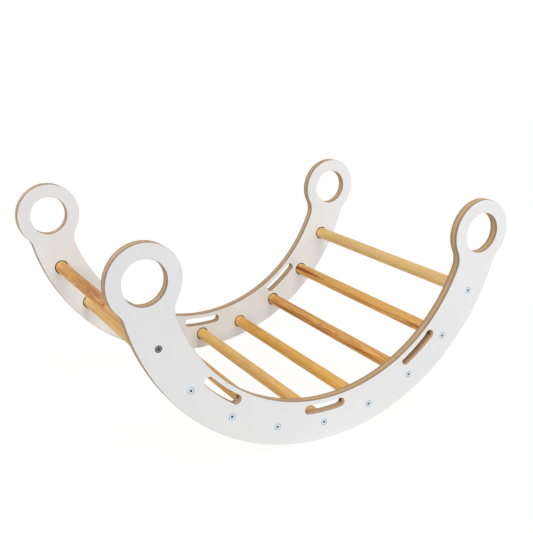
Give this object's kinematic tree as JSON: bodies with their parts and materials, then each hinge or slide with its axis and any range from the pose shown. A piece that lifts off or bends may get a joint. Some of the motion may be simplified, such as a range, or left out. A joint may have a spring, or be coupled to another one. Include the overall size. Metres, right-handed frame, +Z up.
{
  "type": "rocking arch",
  "caption": "Child's rocking and climbing arch: two white-faced curved boards with ring handles and hand slots, joined by round pine rungs.",
  "frame": {"origin": "on the floor under the middle of the arch, where the outer edges rest", "axes": "+X along the arch to the right as pictured, +Y across it from the front board to the back board, +Z up"},
  "size_m": [0.8558, 0.55, 0.4363],
  "materials": {
    "birch_plywood": "birch plywood with sanded, clear-oiled edges",
    "white_film": "satin white melamine film",
    "pine": "turned pine, clear-oiled",
    "zinc_steel": "bright blue-white zinc plating",
    "dark_steel": "dark, unplated steel",
    "insert_steel": "zinc-plated, yellowed"
  },
  "bodies": {
    "root": {"front_board": "birch_plywood", "front_outer_facing": "white_film", "front_inner_facing": "white_film", "back_board": "birch_plywood", "back_outer_facing": "white_film", "back_inner_facing": "white_film", "rung_1": "pine", "rung_2": "pine", "rung_3": "pine", "rung_4": "pine", "rung_5": "pine", "rung_6": "pine", "rung_7": "pine", "rung_8": "pine", "rung_9": "pine", "front_bolts": "zinc_steel", "front_dark_bolt": "dark_steel", "back_bolts": "zinc_steel", "front_inserts": "insert_steel", "back_inserts": "insert_steel"}
  },
  "joints": []
}
